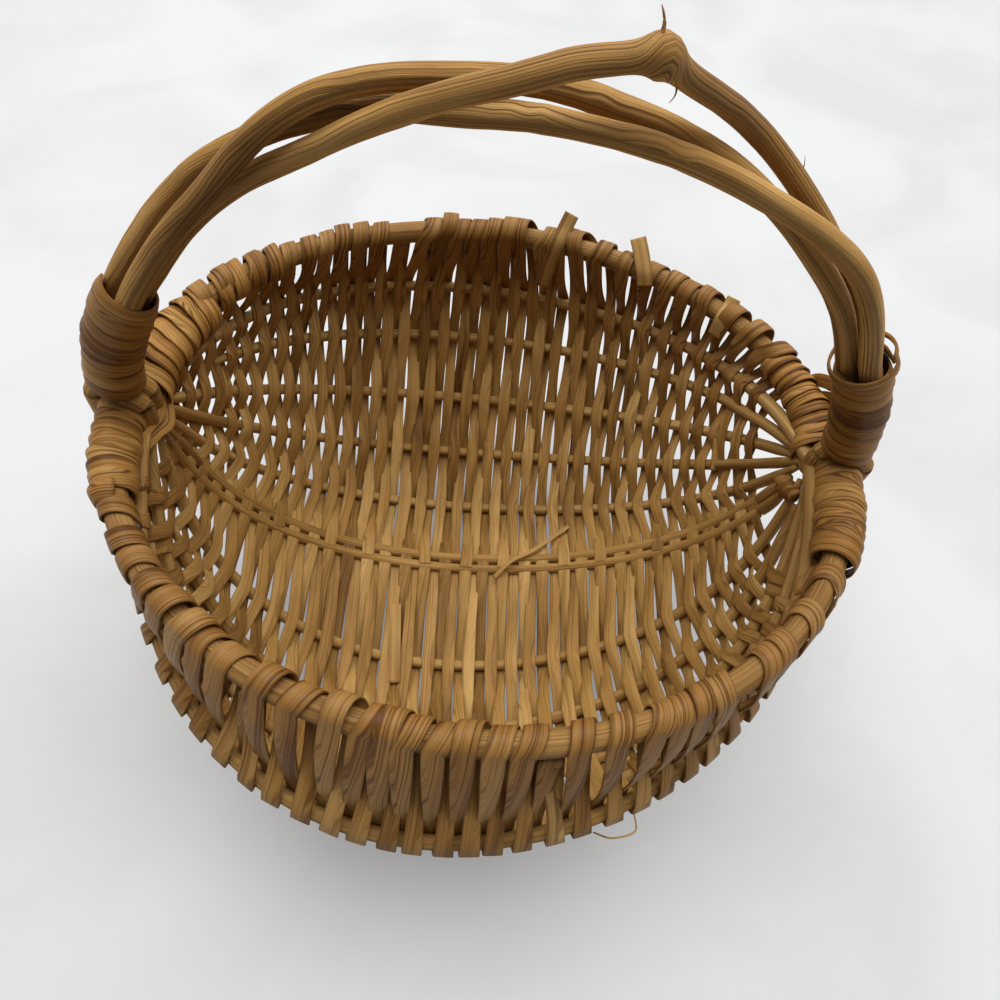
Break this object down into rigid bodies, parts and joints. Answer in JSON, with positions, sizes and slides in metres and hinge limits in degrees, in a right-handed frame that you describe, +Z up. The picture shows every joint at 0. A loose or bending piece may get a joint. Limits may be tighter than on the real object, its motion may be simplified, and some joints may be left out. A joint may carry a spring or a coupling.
{
  "type": "buttocks basket",
  "caption": "Two-lobed rib basket woven from flat splints on an oval rim hoop, with a fixed bow handle of twisted rods.",
  "frame": {"origin": "on the floor, under the middle of the whole basket's box", "axes": "+Z up, +X from the left ear of the handle to the right one, +Y towards the back, away from the fuller lobe"},
  "size_m": [0.2148, 0.1936, 0.2],
  "materials": {
    "rod_wood": "bare weathered round rod, fine lengthwise grain, satin from handling",
    "rib_wood": "bare round rod, dull, darker towards the ears",
    "splint_wood": "flat honey-coloured splint with fine grain streaks, slightly frayed edges",
    "lashing_wood": "flat splint, browner and glossier than the weave"
  },
  "bodies": {
    "root": {"rim_hoop": "rod_wood", "handle_rod_outer": "rod_wood", "handle_rod_kinked": "rod_wood", "handle_rod_inner": "rod_wood", "back_rib_1": "rib_wood", "back_rib_2": "rib_wood", "back_rib_3": "rib_wood", "back_rib_4": "rib_wood", "back_rib_5": "rib_wood", "centre_rod_back": "rib_wood", "centre_rod_front": "rib_wood", "front_rib_5": "rib_wood", "front_rib_4": "rib_wood", "front_rib_3": "rib_wood", "front_rib_2": "rib_wood", "front_rib_1": "rib_wood", "handle_lashing_left": "lashing_wood", "rim_lashing_left_back": "lashing_wood", "rim_lashing_left_front": "lashing_wood", "handle_lashing_right": "lashing_wood", "rim_lashing_right_back": "lashing_wood", "rim_lashing_right_front": "lashing_wood", "weaver_1": "splint_wood", "weaver_2": "splint_wood", "weaver_3": "splint_wood", "weaver_4": "splint_wood", "weaver_5": "splint_wood", "weaver_6": "splint_wood", "weaver_7": "splint_wood", "weaver_8": "splint_wood", "weaver_9": "splint_wood", "weaver_10": "splint_wood", "weaver_11": "splint_wood", "weaver_12": "splint_wood", "weaver_13": "splint_wood", "weaver_14": "splint_wood"}
  },
  "joints": []
}
